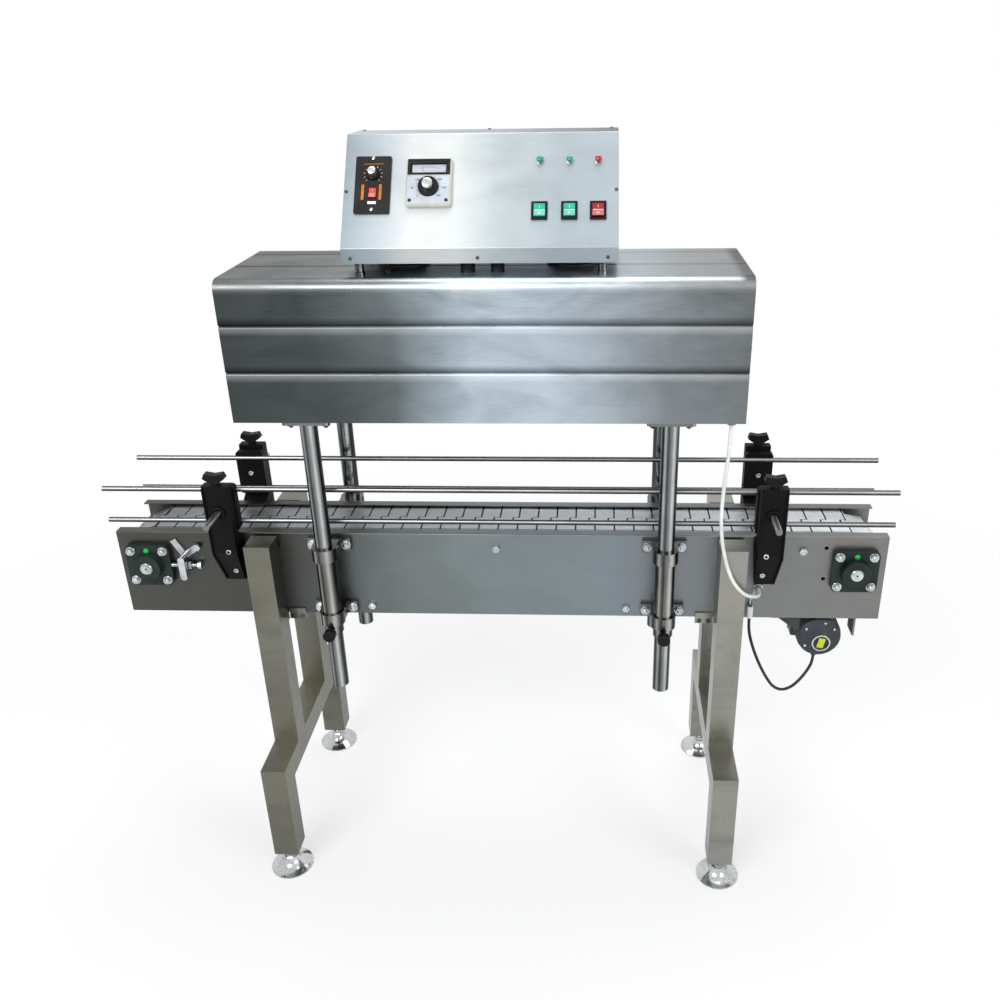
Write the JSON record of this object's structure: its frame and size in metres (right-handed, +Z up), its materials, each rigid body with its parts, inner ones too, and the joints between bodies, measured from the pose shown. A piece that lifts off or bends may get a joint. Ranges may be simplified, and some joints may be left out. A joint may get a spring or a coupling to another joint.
{
  "type": "heat shrink tunnel",
  "caption": "Heat shrink tunnel: a lifting hood with heaters, fans and a control box over a slat chain conveyor with guide rails, on tube stands with levelling feet.",
  "frame": {"origin": "floor under the middle of the machine, between the levelling feet", "axes": "+X along the conveyor to the driven end, +Y from the control side to the rear, +Z up"},
  "size_m": [1.51, 0.497, 1.45],
  "materials": {
    "stainless": "brushed",
    "hood_steel": "brushed",
    "panel_steel": "fine satin",
    "polished_steel": "polished",
    "chain_steel": "satin",
    "zinc": "bright zinc",
    "black_plastic": "moulded",
    "bearing_paint": "dark green enamel",
    "motor_paint": "satin",
    "dark_sheet": "satin",
    "wear_plastic": "moulded",
    "heater_steel": "heat tinted",
    "reflector_steel": "bright",
    "cream_plastic": "moulded",
    "dial_black": "gloss",
    "dial_silver": "turned",
    "lamp_lens": "clear coloured",
    "rocker_green": "gloss",
    "rocker_red": "gloss",
    "white_cable": "smooth",
    "black_cable": "smooth",
    "white_plastic": "moulded"
  },
  "bodies": {
    "frame": {"side_plate_front": "stainless", "side_plate_rear": "stainless", "cross_bars": "stainless", "wear_strips": "wear_plastic", "slat_chain": "chain_steel", "bearing_housings": "bearing_paint", "chain_tensioners": "zinc", "stand_left": "stainless", "stand_right": "stainless", "rail_brackets": "black_plastic", "lift_sleeves": "stainless", "gear_motor": "motor_paint", "motor_mount": "dark_sheet", "drive_chain": "chain_steel", "frame_bolts": "zinc", "motor_plug": "white_plastic", "motor_cable": "black_cable", "hood_cable": "white_cable"},
    "drive": {"drive_shaft": "polished_steel", "drive_sprocket": "chain_steel", "drive_wheel": "chain_steel"},
    "idler": {"idler_shaft": "polished_steel", "idler_sprocket": "chain_steel"},
    "pinion": {"motor_pinion": "chain_steel"},
    "front_guide": {"front_rails": "polished_steel", "front_rail_holders": "black_plastic"},
    "rear_guide": {"rear_rails": "polished_steel", "rear_rail_holders": "black_plastic"},
    "hood": {"lift_tubes": "polished_steel", "hood_shell": "hood_steel", "hood_end_plates": "hood_steel", "heat_reflector": "reflector_steel", "heater_tubes": "heater_steel", "fan_motors": "motor_paint", "control_box": "panel_steel", "control_panel": "panel_steel", "speed_controller": "black_plastic", "temperature_controller": "cream_plastic", "indicator_lamps": "lamp_lens", "switch_frames": "black_plastic"},
    "fan_left": {"fan_wheel_left": "stainless"},
    "fan_right": {"fan_wheel_right": "stainless"},
    "speed_dial": {"speed_knob": "dial_silver"},
    "heat_dial": {"temperature_dial": "dial_black"},
    "heat_rocker": {"heat_switch": "rocker_green"},
    "fan_rocker": {"fan_switch": "rocker_green"},
    "power_rocker": {"power_switch": "rocker_red"},
    "speed_rocker": {"speed_switch": "rocker_red"},
    "foot_front_left": {"foot_front_left": "zinc"},
    "guide_knob_front_left": {"guide_knob_front_left": "black_plastic"},
    "clamp_knob_front_left": {"clamp_knob_front_left": "black_plastic"},
    "foot_front_right": {"foot_front_right": "zinc"},
    "guide_knob_front_right": {"guide_knob_front_right": "black_plastic"},
    "clamp_knob_front_right": {"clamp_knob_front_right": "black_plastic"},
    "foot_rear_left": {"foot_rear_left": "zinc"},
    "guide_knob_rear_left": {"guide_knob_rear_left": "black_plastic"},
    "clamp_knob_rear_left": {"clamp_knob_rear_left": "black_plastic"},
    "foot_rear_right": {"foot_rear_right": "zinc"},
    "guide_knob_rear_right": {"guide_knob_rear_right": "black_plastic"},
    "clamp_knob_rear_right": {"clamp_knob_rear_right": "black_plastic"}
  },
  "joints": [
    {"name": "hood_lift", "type": "slide", "parent": "frame", "child": "hood", "axis": [0, 0, 1], "range_m": [-0.1, 0.12], "deforming": ["hood_cable"]},
    {"name": "drive_spin", "type": "hinge", "parent": "frame", "child": "drive", "pos_m": [0.69056, 0, 0.66083], "axis": [0, 1, 0], "continuous": true},
    {"name": "idler_spin", "type": "hinge", "parent": "frame", "child": "idler", "pos_m": [-0.69056, 0, 0.66083], "axis": [0, 1, 0], "continuous": true},
    {"name": "pinion_spin", "type": "hinge", "parent": "frame", "child": "pinion", "pos_m": [0.645, 0.057, 0.495], "axis": [0, 1, 0], "continuous": true},
    {"name": "front_guide_slide", "type": "slide", "parent": "frame", "child": "front_guide", "axis": [0, 1, 0], "range_m": [0, 0.05]},
    {"name": "rear_guide_slide", "type": "slide", "parent": "frame", "child": "rear_guide", "axis": [0, -1, 0], "range_m": [0, 0.05]},
    {"name": "fan_left_spin", "type": "hinge", "parent": "hood", "child": "fan_left", "pos_m": [-0.15, 0, 1.21], "axis": [0, 0, 1], "continuous": true},
    {"name": "fan_right_spin", "type": "hinge", "parent": "hood", "child": "fan_right", "pos_m": [0.15, 0, 1.21], "axis": [0, 0, 1], "continuous": true},
    {"name": "speed_dial_turn", "type": "hinge", "parent": "hood", "child": "speed_dial", "pos_m": [-0.187, -0.03062, 1.38944], "axis": [0, -0.8034, 0.5955], "range_deg": [-300, 0]},
    {"name": "heat_dial_turn", "type": "hinge", "parent": "hood", "child": "heat_dial", "pos_m": [-0.091, -0.05152, 1.37132], "axis": [0, -0.8034, 0.5955], "range_deg": [-300, 0]},
    {"name": "heat_switch_rock", "type": "hinge", "parent": "hood", "child": "heat_rocker", "pos_m": [0.096, -0.06589, 1.33094], "axis": [1, 0, 0], "range_deg": [0, 16]},
    {"name": "fan_switch_rock", "type": "hinge", "parent": "hood", "child": "fan_rocker", "pos_m": [0.146, -0.06589, 1.33094], "axis": [1, 0, 0], "range_deg": [0, 16]},
    {"name": "power_switch_rock", "type": "hinge", "parent": "hood", "child": "power_rocker", "pos_m": [0.194, -0.06589, 1.33094], "axis": [1, 0, 0], "range_deg": [0, 16]},
    {"name": "speed_switch_rock", "type": "hinge", "parent": "hood", "child": "speed_rocker", "pos_m": [-0.187, -0.04564, 1.35825], "axis": [1, 0, 0], "range_deg": [0, 16]},
    {"name": "foot_front_left_screw", "type": "slide", "parent": "frame", "child": "foot_front_left", "axis": [0, 0, -1], "range_m": [0, 0.02]},
    {"name": "guide_knob_front_left_turn", "type": "hinge", "parent": "frame", "child": "guide_knob_front_left", "pos_m": [-0.52, -0.106, 0.846], "axis": [0, 0, 1], "range_deg": [-360, 0]},
    {"name": "clamp_knob_front_left_turn", "type": "hinge", "parent": "frame", "child": "clamp_knob_front_left", "pos_m": [-0.325, -0.14, 0.545], "axis": [0, -1, 0], "range_deg": [-360, 0]},
    {"name": "foot_front_right_screw", "type": "slide", "parent": "frame", "child": "foot_front_right", "axis": [0, 0, -1], "range_m": [0, 0.02]},
    {"name": "guide_knob_front_right_turn", "type": "hinge", "parent": "frame", "child": "guide_knob_front_right", "pos_m": [0.52, -0.106, 0.846], "axis": [0, 0, 1], "range_deg": [-360, 0]},
    {"name": "clamp_knob_front_right_turn", "type": "hinge", "parent": "frame", "child": "clamp_knob_front_right", "pos_m": [0.325, -0.14, 0.545], "axis": [0, -1, 0], "range_deg": [-360, 0]},
    {"name": "foot_rear_left_screw", "type": "slide", "parent": "frame", "child": "foot_rear_left", "axis": [0, 0, -1], "range_m": [0, 0.02]},
    {"name": "guide_knob_rear_left_turn", "type": "hinge", "parent": "frame", "child": "guide_knob_rear_left", "pos_m": [-0.52, 0.106, 0.846], "axis": [0, 0, 1], "range_deg": [-360, 0]},
    {"name": "clamp_knob_rear_left_turn", "type": "hinge", "parent": "frame", "child": "clamp_knob_rear_left", "pos_m": [-0.325, 0.14, 0.545], "axis": [0, 1, 0], "range_deg": [-360, 0]},
    {"name": "foot_rear_right_screw", "type": "slide", "parent": "frame", "child": "foot_rear_right", "axis": [0, 0, -1], "range_m": [0, 0.02]},
    {"name": "guide_knob_rear_right_turn", "type": "hinge", "parent": "frame", "child": "guide_knob_rear_right", "pos_m": [0.52, 0.106, 0.846], "axis": [0, 0, 1], "range_deg": [-360, 0]},
    {"name": "clamp_knob_rear_right_turn", "type": "hinge", "parent": "frame", "child": "clamp_knob_rear_right", "pos_m": [0.325, 0.14, 0.545], "axis": [0, 1, 0], "range_deg": [-360, 0]}
  ],
  "couplings": [
    {"joint": "idler_spin", "follows": "drive_spin", "ratio": 1},
    {"joint": "pinion_spin", "follows": "drive_spin", "ratio": 1.5}
  ]
}
